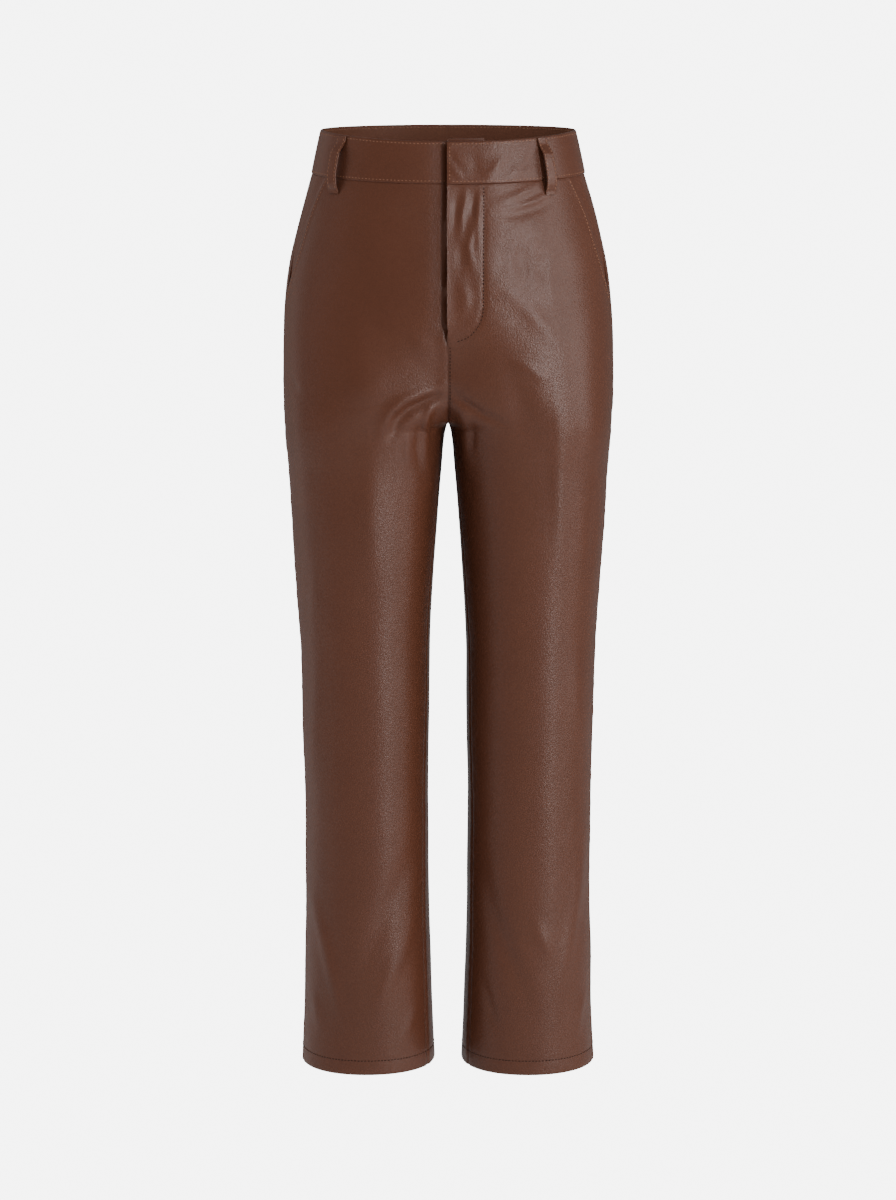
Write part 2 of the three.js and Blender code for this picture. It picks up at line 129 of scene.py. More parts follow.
# Creases listed one by one: width and height in mm, then the line each one follows as x, z pairs
FRONT_CREASES = [
    (24, 4.2, [(-86, -196), (-80, -246)]),
    (31, -7.8, [(-4, -213), (-6, -231)]),
    (7, 1.6, [(-34, -176), (-25, -188), (-17, -202)]),
    (5, 3.5, [(-3, -229), (-26, -234), (-45, -240), (-57, -250), (-64, -264), (-67, -282)]),
    (5.5, -4.8, [(-5, -241), (-23, -245), (-38, -251), (-50, -261), (-56, -278)]),
    (3.5, 1.8, [(-9, -246), (-16, -251), (-22, -262), (-23, -278)]),
    (3, -1.1, [(-8, -254), (-14, -264), (-17, -280)]),
    (3.5, 1.7, [(-18, -254), (-22, -272), (-23, -298), (-20, -326)]),
    (3.5, -1.4, [(-29, -268), (-31, -290), (-28, -318)]),
    (3, 1.0, [(-40, -272), (-41, -292), (-39, -312)]),
    (15, 3.0, [(-77, -282), (-79, -343), (-80, -425)]),
    (12, 0.8, [(-80, -48), (-60, -51), (-40, -60)]),
    (14, 1.2, [(-91, -150), (-90, -170), (-92, -195)]),
    (5, -1.2, [(-142, -413), (-146, -462), (-150, -486)]),
    (9, 1.6, [(-132, -488), (-135, -571), (-144, -640)]),
    (6.5, 2.3, [(-143, -756), (-130, -800), (-118, -853), (-110, -896)]),
    (12, -2.4, [(-33, -708), (-60, -768), (-91, -850)]),
    (9, 2.2, [(-36, -780), (-50, -822), (-62, -850), (-74, -884)]),
    (6, 1.3, [(-33, -880), (-41, -902), (-46, -918)]),
    (5, -1.5, [(-163, -219), (-158, -228), (-150, -236)]),
    (5, 1.2, [(-140, -866), (-136, -888), (-133, -908)]),
    (5, -3.4, [(3, -232), (13, -244), (32, -254), (59, -266)]),
    (6.5, 3.2, [(11, -242), (17, -279), (19, -320)]),
    (3, -1.2, [(24, -264), (25, -280), (24, -298)]),
    (3, -0.8, [(22, -325), (23, -340), (21, -356)]),
    (9, 1.5, [(53, -127), (74, -144), (95, -167), (115, -187)]),
    (6, 1.8, [(67, -203), (84, -210), (99, -221)]),
    (12, -2.0, [(57, -212), (72, -240), (80, -275)]),
    (9, 1.8, [(110, -240), (112, -322), (114, -410)]),
    (4.5, 1.5, [(46, -42), (62, -37), (80, -30), (90, -26)]),
    (3.2, 1.6, [(55, -47), (73, -44), (86, -41), (100, -35), (106, -29)]),
    (5, -1.2, [(51, -54), (71, -53), (91, -48), (103, -41)]),
    (14, 1.2, [(55, -68), (81, -70), (107, -73)]),
    (15, -2.8, [(46, -98), (75, -103), (106, -108)]),
    (8, 0.9, [(64, -84), (62, -104), (66, -124)]),
    (7, 1.0, [(86, -88), (84, -108), (87, -130)]),
    (7, 1.0, [(101, -96), (102, -118), (106, -142)]),
    (8, 2.4, [(-12, -284), (-12, -318), (-16, -352)]),
    (3, 1.4, [(17, -26), (16, -41), (13, -54), (12, -76)]),
    (3, 1.1, [(31, -30), (30, -52), (29, -88)]),
    (2.2, -0.8, [(35, -20), (35, -85), (35, -146), (31, -163), (22, -175), (2, -182)]),
    (3.5, 1.3, [(30, -40), (24, -68), (20, -83), (22, -94), (26, -113)]),
    (5, 1.3, [(13, -119), (17, -136), (16, -155)]),
    (3.5, -1.2, [(9, -33), (8, -48), (7, -70)]),
    (3, -1.1, [(26, -30), (23, -58)]),
    (4, -0.9, [(12, -84), (13, -108)]),
    (5, -1.0, [(147, -344), (147, -389), (143, -430)]),
    (9, 1.6, [(132, -496), (132, -562), (140, -607)]),
    (7, 2.4, [(142, -695), (133, -762), (121, -832), (114, -872)]),
    (5, -0.9, [(127, -667), (123, -681), (121, -697)]),
    (10, -2.6, [(33, -713), (43, -768), (64, -826), (88, -886)]),
    (5, -1.4, [(36, -850), (44, -880), (51, -904)]),
    (8, 1.7, [(90, -788), (99, -806), (106, -822)]),
    (4.5, 1.4, [(141, -870), (137, -890), (135, -909)]),
]
BAND_CREASES = [
    (5, 1.3, [(36, -18), (46, -6), (55, 6)]),
    (4, 0.9, [(60, -15), (71, -4), (79, 9)]),
    (2.6, 1.2, [(2, 1), (7, -8), (13, -15)]),
    (3, -1.0, [(2, 12), (4, 2), (9, -4)]),
    (3.5, 0.9, [(60, -13), (75, -12), (88, -9)]),
    (6, -0.8, [(22, 9), (27, -2), (25, -15)]),
]
BACK_CREASES = [
    (11, -3.4, [(18, -232), (48, -262), (92, -290)]),
    (11, -3.2, [(-17, -236), (-50, -268), (-90, -298)]),
    (13, 3.0, [(60, -300), (84, -312), (118, -318)]),
    (13, 2.8, [(-56, -306), (-84, -316), (-120, -326)]),
    (6, -1.6, [(16, -268), (34, -292), (66, -312)]),
    (5, -1.4, [(-15, -272), (-31, -300), (-60, -322)]),
    (13, -2.8, [(50, -560), (84, -574), (122, -566)]),
    (13, -3.0, [(-48, -572), (-86, -590), (-124, -580)]),
    (14, 2.4, [(58, -640), (90, -655), (120, -650)]),
    (14, 2.4, [(-52, -655), (-88, -668), (-120, -660)]),
    (7, 1.3, [(44, -596), (78, -604), (104, -598)]),
    (6, 1.2, [(-58, -612), (-84, -622), (-110, -616)]),
    (13, -2.4, [(60, -880), (86, -900), (116, -908)]),
    (13, -2.4, [(-58, -868), (-84, -892), (-112, -904)]),
    (8, 1.5, [(44, -800), (58, -842), (66, -890)]),
    (8, 1.4, [(-132, -772), (-120, -820), (-104, -866)]),
    (9, 1.2, [(-60, -96), (-84, -108), (-112, -112)]),
    (8, 1.1, [(52, -84), (80, -98), (104, -100)]),
]


def table_reader(table):
    """Smooth reading of a table by height, never past the two rows beside it."""
    heights = np.array(table["z"], dtype=float)[::-1]
    columns = {}
    for name, values in table.items():
        if name == "z":
            continue
        knots = np.array(values, dtype=float)[::-1]
        steps = np.diff(knots) / np.diff(heights)
        slopes = np.empty_like(knots)
        slopes[0] = steps[0]
        slopes[-1] = steps[-1]
        before, after = steps[:-1], steps[1:]
        total = np.where(np.abs(before + after) < 1e-9, 1.0, before + after)
        slopes[1:-1] = np.where(before * after > 0, 2 * before * after / total, 0.0)
        columns[name] = (knots, slopes)

    def read(z):
        level = np.clip(z, heights[0], heights[-1])
        at = np.clip(np.searchsorted(heights, level) - 1, 0, len(heights) - 2)
        span = heights[at + 1] - heights[at]
        t = (level - heights[at]) / span
        result = {}
        for name, (knots, slopes) in columns.items():
            result[name] = (
                (1 + 2 * t) * (1 - t) ** 2 * knots[at]
                + t * t * (3 - 2 * t) * knots[at + 1]
                + t * (1 - t) ** 2 * span * slopes[at]
                + t * t * (t - 1) * span * slopes[at + 1]
            )
        return result

    return read


section_at = table_reader(SECTIONS)
seam_at = table_reader(SEAMS)
pocket_at = table_reader(POCKET_MOUTH)


def smooth(t):
    """A soft step from 0 to 1."""
    held = np.clip(t, 0.0, 1.0)
    return held * held * (3 - 2 * held)


def line_point(z, angle):
    """The cloth line of the left half, angle 0 at the side, 90 at the front and 180 inside."""
    cut = section_at(z)
    across, along = np.cos(angle), np.sin(angle)
    power = 2 / cut["round"]
    reach_x = np.where(across > 0, cut["side"] - cut["middle_x"], cut["middle_x"] - cut["inner"])
    reach_y = np.where(along > 0, cut["front"] + cut["middle_y"], cut["back"] - cut["middle_y"])
    x = cut["middle_x"] + np.sign(across) * np.abs(across) ** power * reach_x
    y = cut["middle_y"] - np.sign(along) * np.abs(along) ** power * reach_y
    return np.stack([x, y, np.broadcast_to(z, x.shape)], axis=-1)


def angle_at_x(z, x):
    """Angle at which the front half of the cloth line lies at x."""
    cut = section_at(z)
    side = x > cut["middle_x"]
    reach = np.where(side, cut["side"] - cut["middle_x"], cut["middle_x"] - cut["inner"])
    part = np.clip(np.abs(x - cut["middle_x"]) / reach, 0, 1) ** (cut["round"] / 2)
    return np.where(side, np.arccos(part), np.pi - np.arccos(part))


def angle_beside(z, x):
    """Angles along a line that stays at one x."""
    return angle_at_x(z, np.full_like(z, x))


def unit(vectors):
    """The vectors at length 1."""
    return vectors / np.maximum(np.linalg.norm(vectors, axis=-1, keepdims=True), 1e-9)


def outward(z, angle):
    """Outward direction of the cloth, level near the waist and the hems."""
    around = line_point(z, angle + 0.002) - line_point(z, angle - 0.002)
    level = unit(np.stack([around[..., 1], -around[..., 0], np.zeros_like(z)], axis=-1))
    rise = line_point(np.minimum(z + 1, SECTIONS["z"][0]), angle) - line_point(z - 1, angle)
    full = unit(np.cross(around, rise))
    full *= np.sign(np.sum(full * level, axis=-1, keepdims=True) + 1e-12)
    share = (smooth((-100 - z) / 60) * smooth((z - HEM - 20) / 40))[..., None]
    facing = unit(level * (1 - share) + full * share)
    cut = section_at(z)
    middle = np.stack([cut["middle_x"], cut["middle_y"], z], axis=-1)
    turned = np.sum(facing * (line_point(z, angle) - middle), axis=-1, keepdims=True)
    return facing * np.where(turned < 0, -1.0, 1.0)


def waist_dip(z, y):
    """Lowering of the waist at the centre front."""
    upper = SEAM_DIP + (TOP_DIP - SEAM_DIP) * (z - WAIST_SEAM) / (WAIST_TOP - WAIST_SEAM)
    lower = SEAM_DIP * smooth((z - WAIST_SEAM + DIP_FADE) / DIP_FADE)
    return np.where(y < 0, np.where(z > WAIST_SEAM, upper, lower) * (y / FRONT_DEPTH) ** 2, 0.0)


def crease_lines(creases, x, z):
    """Height of soft ridges and troughs that each follow a line, a long one fading at its ends."""
    height = np.zeros_like(x)
    for width, tall, line in creases:
        away = np.full_like(x, 1e9)
        along = np.zeros_like(x)
        parts = len(line) - 1
        length = sum(math.dist(line[part], line[part + 1]) for part in range(parts))
        blunt = min(1.0, 1.1 * width / length)
        for part in range(parts):
            (from_x, from_z), (to_x, to_z) = line[part], line[part + 1]
            run_x, run_z = to_x - from_x, to_z - from_z
            share = ((x - from_x) * run_x + (z - from_z) * run_z) / (run_x ** 2 + run_z ** 2)
            held = np.clip(share, 0, 1)
            far = np.hypot(x - from_x - held * run_x, z - from_z - held * run_z)
            nearer = far < away
            away = np.where(nearer, far, away)
            along = np.where(nearer, (part + held) / parts, along)
        ends = blunt + (1 - blunt) * np.sin(np.pi * (0.03 + 0.94 * along))
        height += tall * ends * np.exp(-((away / width) ** 2))
    return height


def crease_height(x, z, facing_y):
    """Creases of the front and of the back, each only on cloth that faces that way."""
    front = crease_lines(FRONT_CREASES, x, z) * smooth((-facing_y - 0.12) / 0.4)
    return front + crease_lines(BACK_CREASES, x, z) * smooth((facing_y - 0.12) / 0.4)


def slack(x, y, z):
    """The slight unevenness of filled out cloth between its creases, none at the waist seam."""
    slow = np.sin(x / 31 + z / 57 + 0.7) * np.sin(z / 43 - y / 37)
    quick = np.sin(x / 14.3 - z / 23.7 + 2.1) * np.sin(z / 17.9 + y / 13.1 + 0.4)
    return (0.45 * slow + 0.12 * quick) * smooth((WAIST_SEAM - z) / 25)


def seam_height(z, away, phase):
    """Groove of a seam and the puckered ridge beside it, by the distance from the seam."""
    depth = 0.35 + 0.75 * smooth((CROTCH - z) / 20)
    pucker = np.sin(z / 3.1 + phase) * np.sin(z / 7.7 + 2 * phase)
    ridge = 0.28 * np.exp(-(((away - 5) / 3.5) ** 2)) * (1 + 0.9 * pucker)
    return ridge - depth * np.exp(-((away / 1.5) ** 2))


def fly_share(z):
    """1 along the fly, fading to 0 at its foot."""
    return smooth((z - FLY_FOOT) / FLY_FADE)


def front_lift(x, z):
    """Lift of the left front where it laps over the right at the fly, most at its edge."""
    wide = 2.0 * (1 - smooth((x - 38) / 42))
    return (wide + 3.2 * np.exp(-(x - LAP_EDGE) / 13)) * fly_share(z)


def lap_hollow(x):
    """Depth of the right side's hollow beside the lapped edge, x measured away from it."""
    soft = 2.4 * np.exp(-(((x - 5) / np.where(x > 5, 12, 4)) ** 2))
    return soft + 3.8 * np.exp(-(((x - 1) / 1.9) ** 2))


def place(half, z, angle, offset, lift=0.0, folded=True, seam_near=None, seam_phase=0.0):
    """Point of a piece on one half, 1 is the wearer's left, moved out by an offset and a lift.

    The lift and the creases move nothing sideways at the centre, where both halves meet.
    """
    z, angle = np.broadcast_arrays(np.asarray(z, dtype=float), np.asarray(angle, dtype=float))
    point = line_point(z, angle)
    facing = outward(z, angle)
    dip = waist_dip(z, point[..., 1])
    height = np.zeros_like(z)
    if folded:
        height = crease_height(half * point[..., 0], z, facing[..., 1])
        height = height + slack(half * point[..., 0], point[..., 1], z)
    if seam_near is not None:
        height = height + seam_height(z, seam_near, seam_phase)
    moved = facing.copy()
    moved[..., 0] *= smooth(np.abs(point[..., 0]) / 20)
    point = point + moved * (height + lift)[..., None] + facing * np.asarray(offset)[..., None]
    return np.stack([half * point[..., 0], point[..., 1], point[..., 2] - dip], axis=-1)


def new_object(name, points, faces):
    """A linked object from points in mm and the faces between them."""
    mesh = bpy.data.meshes.new(name)
    mesh.from_pydata((np.array(points) * MM).tolist(), [], faces)
    mesh.validate()
    piece = bpy.data.objects.new(name, mesh)
    bpy.context.collection.objects.link(piece)
    return piece


def select_only(piece):
    """Make a piece the one that operators act on."""
    bpy.ops.object.select_all(action="DESELECT")
    piece.select_set(True)
    bpy.context.view_layer.objects.active = piece


def finish_piece(piece, node_names, material, smooth_angle=50):
    """Give a piece its material, smooth it, and let it ride and replace what it stands for."""
    piece.data.materials.clear()
    piece.data.materials.append(material)
    select_only(piece)
    bpy.ops.object.shade_smooth_by_angle(angle=math.radians(smooth_angle))
    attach(piece, "root")
    if node_names:
        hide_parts(*node_names)


def make_wall(name, node_names, material, outside, inside):
    """A closed wall of cloth from its outer points and the inner points behind them."""
    rows, columns = outside.shape[:2]
    points = np.concatenate([outside.reshape(-1, 3), inside.reshape(-1, 3)])
    back = rows * columns
    index = np.arange(back).reshape(rows, columns)
    corners = [index[:-1, :-1], index[:-1, 1:], index[1:, 1:], index[1:, :-1]]
    front_faces = np.stack(corners, axis=-1).reshape(-1, 4)
    faces = [front_faces, front_faces[:, ::-1] + back]
    rims = [index[0], index[-1][::-1], index[:, 0][::-1], index[:, -1]]
    for rim in rims:
        faces.append(np.stack([rim[1:], rim[:-1], rim[:-1] + back, rim[1:] + back], axis=-1))
    faces = np.concatenate(faces)
    first, second, third = (points[faces[:, corner]] for corner in range(3))
    volume = np.sum(first * np.cross(second, third))
    if volume < 0:
        faces = faces[:, ::-1]
    piece = new_object(name, points, faces.tolist())
    finish_piece(piece, node_names, material)
    return piece


# Materials
def to_linear(colour):
    """An sRGB hex colour as the linear values that the shader takes."""
    values = []
    for at in (0, 2, 4):
        part = int(colour[at:at + 2], 16) / 255
        values.append(part / 12.92 if part <= 0.04045 else ((part + 0.055) / 1.055) ** 2.4)
    return (*values, 1.0)


def add_node(material, kind, settings=None, inputs=None, links=None):
    """Add a shader node, set its properties and sockets, and link what feeds it."""
    node = material.node_tree.nodes.new(kind)
    for name, value in (settings or {}).items():
        setattr(node, name, value)
    for socket, value in (inputs or {}).items():
        node.inputs[socket].default_value = value
    for socket, source in (links or {}).items():
        material.node_tree.links.new(source, node.inputs[socket])
    return node


def new_material(name):
    """A material with its shader."""
    material = bpy.data.materials.new(name)
    material.use_nodes = True
    return material, material.node_tree.nodes["Principled BSDF"]


def connect(material, source, socket):
    """Link two sockets of a material or world."""
    material.node_tree.links.new(source, socket)


# Polyurethane faux leather on a knit: an even brown film with a fine pebbled press.
# The film is a satin plastic, so its shine is broad and its grain only sparkles in the shine.
# Its tone drifts over about 70 mm. Its pebbles are drawn 1.5 mm wide, so that they show.
def polyurethane_leather(name, film, pore):
    material, shader = new_material(name)
    here = add_node(material, "ShaderNodeTexCoord").outputs["Object"]
    cloudy = add_node(
        material, "ShaderNodeTexNoise", None,
        {"Scale": 14.0, "Detail": 3.0, "Roughness": 0.55}, {"Vector": here},
    )
    pebbles = add_node(
        material, "ShaderNodeTexVoronoi", {"feature": "F1"},
        {"Scale": 1 / (1.5 * MM), "Randomness": 0.9}, {"Vector": here},
    )
    fine = add_node(
        material, "ShaderNodeTexNoise", None,
        {"Scale": 1 / (2.2 * MM), "Detail": 2.0, "Roughness": 0.6}, {"Vector": here},
    )
    shade = add_node(
        material, "ShaderNodeMix", {"data_type": "RGBA"},
        {"A": to_linear(film), "B": to_linear(pore)},
        {"Factor": cloudy.outputs["Fac"]},
    )
    deep = add_node(
        material, "ShaderNodeMapRange", None,
        {"From Min": 0.2, "From Max": 0.75, "To Min": 1.0, "To Max": 0.8},
        {"Value": pebbles.outputs["Distance"]},
    )
    tinted = add_node(
        material, "ShaderNodeMix", {"data_type": "RGBA", "blend_type": "MULTIPLY"},
        {"Factor": 0.5}, {"A": shade.outputs["Result"], "B": deep.outputs["Result"]},
    )
    connect(material, tinted.outputs["Result"], shader.inputs["Base Color"])
    gloss = add_node(
        material, "ShaderNodeMapRange", None,
        {"From Min": 0.3, "From Max": 0.7, "To Min": 0.3, "To Max": 0.41},
        {"Value": fine.outputs["Fac"]},
    )
    connect(material, gloss.outputs["Result"], shader.inputs["Roughness"])
    press = add_node(
        material, "ShaderNodeMath", {"operation": "ADD"}, None,
        {0: pebbles.outputs["Distance"], 1: fine.outputs["Fac"]},
    )
    bump = add_node(
        material, "ShaderNodeBump", {"invert": True},
        {"Strength": 0.4, "Distance": 0.4 * MM}, {"Height": press.outputs["Value"]},
    )
    connect(material, bump.outputs["Normal"], shader.inputs["Normal"])
    shader.inputs["IOR"].default_value = 1.5
    shader.inputs["Specular IOR Level"].default_value = 0.32
    return material


# The film of the panels and the waistband
brown_film = polyurethane_leather("polyurethane_leather_brown", "593425", "502e20")
# The same film on the waistband's inner face, painted a tone lighter to make up for the shade it lies
# in
shade_lightened_inner_film = polyurethane_leather("polyurethane_leather_band_facing_painted_lighter", "704a3a", "664233")
# The same film over the folded edges of the belt loops, a little lighter
loop_film = polyurethane_leather("polyurethane_leather_folded_edge", "5c3728", "502f21")


# Corespun polyester sewing thread: matt, its twist a faint change of tone at 0.9 mm.
def polyester_thread(name, dark, light):
    material, shader = new_material(name)
    here = add_node(material, "ShaderNodeTexCoord").outputs["Object"]
    twist = add_node(
        material, "ShaderNodeTexNoise", None,
        {"Scale": 1 / (0.9 * MM), "Detail": 1.0}, {"Vector": here},
    )
    tone = add_node(
        material, "ShaderNodeMix", {"data_type": "RGBA"},
        {"A": to_linear(dark), "B": to_linear(light)}, {"Factor": twist.outputs["Fac"]},
    )
    connect(material, tone.outputs["Result"], shader.inputs["Base Color"])
    shader.inputs["Roughness"].default_value = 0.85
    shader.inputs["Specular IOR Level"].default_value = 0.2
    return material


# Thread of the waistband, the loops and the pockets, a little lighter than the film
tan_thread = polyester_thread("polyester_thread_tan", "74503d", "8a6450")
# Thread of the fly and the hems, sunk into the cloth and darker than the film
dark_thread = polyester_thread("polyester_thread_dark_brown", "2c1912", "3a241b")


# Zinc alloy slider, hook and bar: tumbled and plated, so bright with fine scratches at 0.6 mm.
def plated_zinc_alloy():
    material, shader = new_material("plated_zinc_alloy")
    here = add_node(material, "ShaderNodeTexCoord").outputs["Object"]
    scratches = add_node(
        material, "ShaderNodeTexNoise", None,
        {"Scale": 1 / (0.6 * MM), "Detail": 3.0}, {"Vector": here},
    )
    gloss = add_node(
        material, "ShaderNodeMapRange", None,
        {"To Min": 0.22, "To Max": 0.38}, {"Value": scratches.outputs["Fac"]},
    )
    connect(material, gloss.outputs["Result"], shader.inputs["Roughness"])
    shader.inputs["Base Color"].default_value = to_linear("a8a199")
    shader.inputs["Metallic"].default_value = 1.0
    return material


# Nylon zip tape: a matt brown weave, its threads drawn 1 mm wide so that they show.
def woven_nylon_tape():
    material, shader = new_material("woven_nylon_tape")
    here = add_node(material, "ShaderNodeTexCoord").outputs["Object"]
    weave = add_node(
        material, "ShaderNodeTexWave", {"bands_direction": "Z"},
        {"Scale": 1 / (6.3 * MM), "Distortion": 0.4}, {"Vector": here},
    )
    tone = add_node(
        material, "ShaderNodeMix", {"data_type": "RGBA"},
        {"A": to_linear("3a251b"), "B": to_linear("4a3124")}, {"Factor": weave.outputs["Fac"]},
    )
    connect(material, tone.outputs["Result"], shader.inputs["Base Color"])
    bump = add_node(
        material, "ShaderNodeBump", None,
        {"Strength": 0.4, "Distance": 0.3 * MM}, {"Height": weave.outputs["Fac"]},
    )
    connect(material, bump.outputs["Normal"], shader.inputs["Normal"])
    shader.inputs["Roughness"].default_value = 0.8
    return material


plated_zinc = plated_zinc_alloy()
nylon_tape = woven_nylon_tape()


# Seam edges of the panels: half the gap at the centre and the gap at the waist in mm, and the
# gaps at the other seams in radians
HALF_GAP = 0.1
TOP_GAP = 0.15
INSEAM_GAP = 0.002
SIDE_GAP = 0.001

# The hidden inner edges are slanted past the gaps, so that no light shows through the seams
CENTRE_SLANT = 1.1
TOP_SLANT = 1.0
SEAM_SLANT = 0.013

# Rows and columns of a panel, close at its ends, its crotch and its seams
UPPER_STEP = 2.2
LOWER_STEP = 3.1
FORK_REACH = 30.0
FORK_ROWS = 41
SEAM_STEPS = np.array([0, 0.4, 0.9, 1.6, 2.6, 4, 6, 8.5])
MIDDLE_START = 11.0

# Grooves mark a panel's seams but not the strip beside the lap or the open pocket mouth
LAP_STRIP = 40.0
MOUTH_START = 60.0
NO_SEAM = 40.0

# For each face, the width in mm that spaces its columns, its middle columns and its flat size in m
PANEL_CUTS = dict(
    front=(170, 94, (0.3, 0.93)),
    back=(230, 104, (0.36, 0.93)),
)


def panel_levels():
    """Heights of a panel's rows, from the waist seam to the hem."""
    top = WAIST_SEAM - np.array([TOP_GAP, 0.5, 1.1])
    upper = np.arange(WAIST_SEAM - UPPER_STEP, CROTCH + FORK_REACH - 1, -UPPER_STEP)
    spread = np.linspace(1, -1, FORK_ROWS)
    fork = CROTCH + np.sign(spread) * FORK_REACH * np.abs(spread) ** 1.4
    lower = np.arange(CROTCH - FORK_REACH - 3, HEM + 6, -LOWER_STEP)
    foot = HEM + np.array([5, 3, 1.4, 0.5, 0.05])
    return np.concatenate([top, upper, fork, lower, foot])


def edge_shares(width, middle_columns):
    """Columns across a panel, packed closely beside both seams."""
    close = SEAM_STEPS / width
    middle = np.linspace(MIDDLE_START / width, 1 - MIDDLE_START / width, middle_columns)
    return np.concatenate([close, middle, 1 - close[::-1]])


def close_centre(points, half, share=1.0):
    """Slant the edge at a centre seam, so that nothing shows through between the halves."""
    slanted = half * HALF_GAP - CENTRE_SLANT
    points[:, 0, 0] = points[:, 0, 0] * (1 - share) + slanted * share


def inner_angle(half, face, z):
    """Inner edge of a panel: the inseam below the crotch and the centre seam or lap above it."""
    inseam = np.pi - np.radians(seam_at(z)["inseam"])
    below = (inseam if face == "front" else 2 * np.pi - inseam) - INSEAM_GAP
    x = np.full_like(z, HALF_GAP)
    if face == "front":
        reach = LAP_REACH if half > 0 else UNDERLAP_REACH
        x = x - reach * smooth((z - LAP_FOOT) / 7)
    above = np.minimum(angle_at_x(z, x), np.pi - 0.0003)
    return np.where(z < CROTCH, below, above)


def side_angle(face, z):
    """Outer edge of a panel: the side seam, or the pocket mouth above it on a front."""
    seam = np.radians(seam_at(z)["side_seam"])
    if face == "back":
        return seam - SIDE_GAP
    seam = seam + SIDE_GAP
    mouth = np.maximum(angle_at_x(z, pocket_at(z)["x"]), seam)
    return np.where(z < POCKET_BOTTOM, seam, mouth)


def distance_across(points):
    """Length along each row from its first column."""
    steps = np.linalg.norm(np.diff(points, axis=1), axis=-1)
    return np.concatenate([np.zeros((len(points), 1)), np.cumsum(steps, axis=1)], axis=1)


def front_relief(half, x, z, across, seam_near):
    """Lift of a front at its fly and its rolled pocket mouth, and how near its seams are."""
    if half > 0:
        lift = front_lift(x, z)
    else:
        lift = -lap_hollow(x) * fly_share(z)
    seam_near = seam_near + 30 * smooth((z - LAP_FOOT + 8) / 8) * (across < LAP_STRIP)
    mouth = (z > POCKET_BOTTOM) & (across > MOUTH_START)
    rolled = np.exp(-(((across[:, -1:] - across - 3) / 3.2) ** 2)) * mouth
    lift = lift + (0.42 if half > 0 else 0.7) * rolled
    return lift, np.where(mouth, NO_SEAM, seam_near)


def panel_points(half, face, levels, shares, side):
    """Grid of a panel's outer or inner points, a row for each level."""
    z = np.repeat(levels[:, None], len(shares), axis=1)
    near = inner_angle(half, face, levels)[:, None]
    near = near if face == "front" else -near
    far = side_angle(face, levels)[:, None]
    angle = near + (far - near) * shares[None, :]
    plain = line_point(z, angle)
    across = distance_across(plain)
    seam_near = np.minimum(across, across[:, -1:] - across)
    lift = np.zeros_like(z)
    if face == "front":
        lift, seam_near = front_relief(half, plain[..., 0], z, across, seam_near)
    phase = 0.9 * half + (face == "back")
    if side == "outside":
        rounded = 0.5 * np.exp(-((WAIST_SEAM - z) / 1.2)) + 0.6 * np.exp((HEM - z) / 0.7)
        groove = 0.35 * np.exp(-(((z - HEM_TURN_TOP + 1.5) / 1.2) ** 2))
        offset = -rounded - groove
        return place(half, z, angle, offset, lift, seam_near=seam_near, seam_phase=phase)
    near = near + SEAM_SLANT * smooth((CROTCH - levels) / 20)[:, None]
    far = far - SEAM_SLANT * smooth((POCKET_BOTTOM - levels) / 10)[:, None]
    angle = near + (far - near) * shares[None, :]
    wall = np.where(z < HEM_TURN_TOP, HEM_TURN_WALL, CLOTH)
    points = place(half, z, angle, -wall, lift, seam_near=seam_near, seam_phase=phase)
    points[0, :, 2] += TOP_SLANT
    centre = smooth((levels - CROTCH) / 3)
    if face == "front":
        centre = centre * (1 - smooth((levels - LAP_FOOT + 6) / 6))
    close_centre(points, half, centre)
    return points


levels = panel_levels()
for half, side_name in HALVES:
    for face, (width, middle_columns, flat) in PANEL_CUTS.items():
        shares = edge_shares(width, middle_columns)
        outside = panel_points(half, face, levels, shares, "outside")
        inside = panel_points(half, face, levels, shares, "inside")
        node = face + "_" + side_name
        panel = make_wall("panel_" + node, [node], brown_film, outside, inside)


# Side pieces under the pocket mouths
POCKET_ROWS = 60
POCKET_COLUMNS = 40
POCKET_TUCK = 30.0
POCKET_DEPTH = 2.0


def pocket_points(half, offset):
    """Cloth from its tucked edge, behind the pocket mouth, to the side seam."""
    levels = np.linspace(WAIST_SEAM - TOP_GAP, POCKET_BOTTOM - 10, POCKET_ROWS)
    shares = np.linspace(0, 1, POCKET_COLUMNS)
    z = np.repeat(levels[:, None], POCKET_COLUMNS, axis=1)
    mouth_x = pocket_at(z)["x"]
    tucked = angle_at_x(z, mouth_x - POCKET_TUCK)
    seam = np.radians(seam_at(z)["side_seam"]) + SIDE_GAP
    angle = tucked + (seam - tucked) * shares[None, :]
    clear = line_point(z, angle)[..., 1] - line_point(z, angle_at_x(z, mouth_x))[..., 1]
    risen = smooth((clear - 3) / 16) * smooth((z - POCKET_BOTTOM - 14) / 20)
    return place(half, z, angle, offset - POCKET_DEPTH * (1 - risen))


for half, side_name in HALVES:
    node = "pocket_side_" + side_name
    outside = pocket_points(half, 0.0)
    inside = pocket_points(half, -CLOTH)
    pocket_piece = make_wall("panel_" + node, [node], brown_film, outside, inside)


# Waistband halves, padded a little between their stitched edges
BAND_LEVELS = np.concatenate([
    [BAND_FOOT, -21.7, -21.2, -20.2],
    np.linspace(-18, 18, 13),
    [19.8, 20.8, 21.3, WAIST_TOP],
])
BAND_COLUMNS = 220
BAND_STITCHES = (-19.2, 19.0)
UNDERLAP_COLUMNS = 12
UNDERLAP_START = 1.2
UNDERLAP_END = -36.0

# How far the outer and inner faces of the band and of its underlap stand out from the cloth line
BAND_FACES = dict(outside=1.0, inside=-1.4)
UNDERLAP_FACES = dict(outside=-0.8, inside=-2.8)


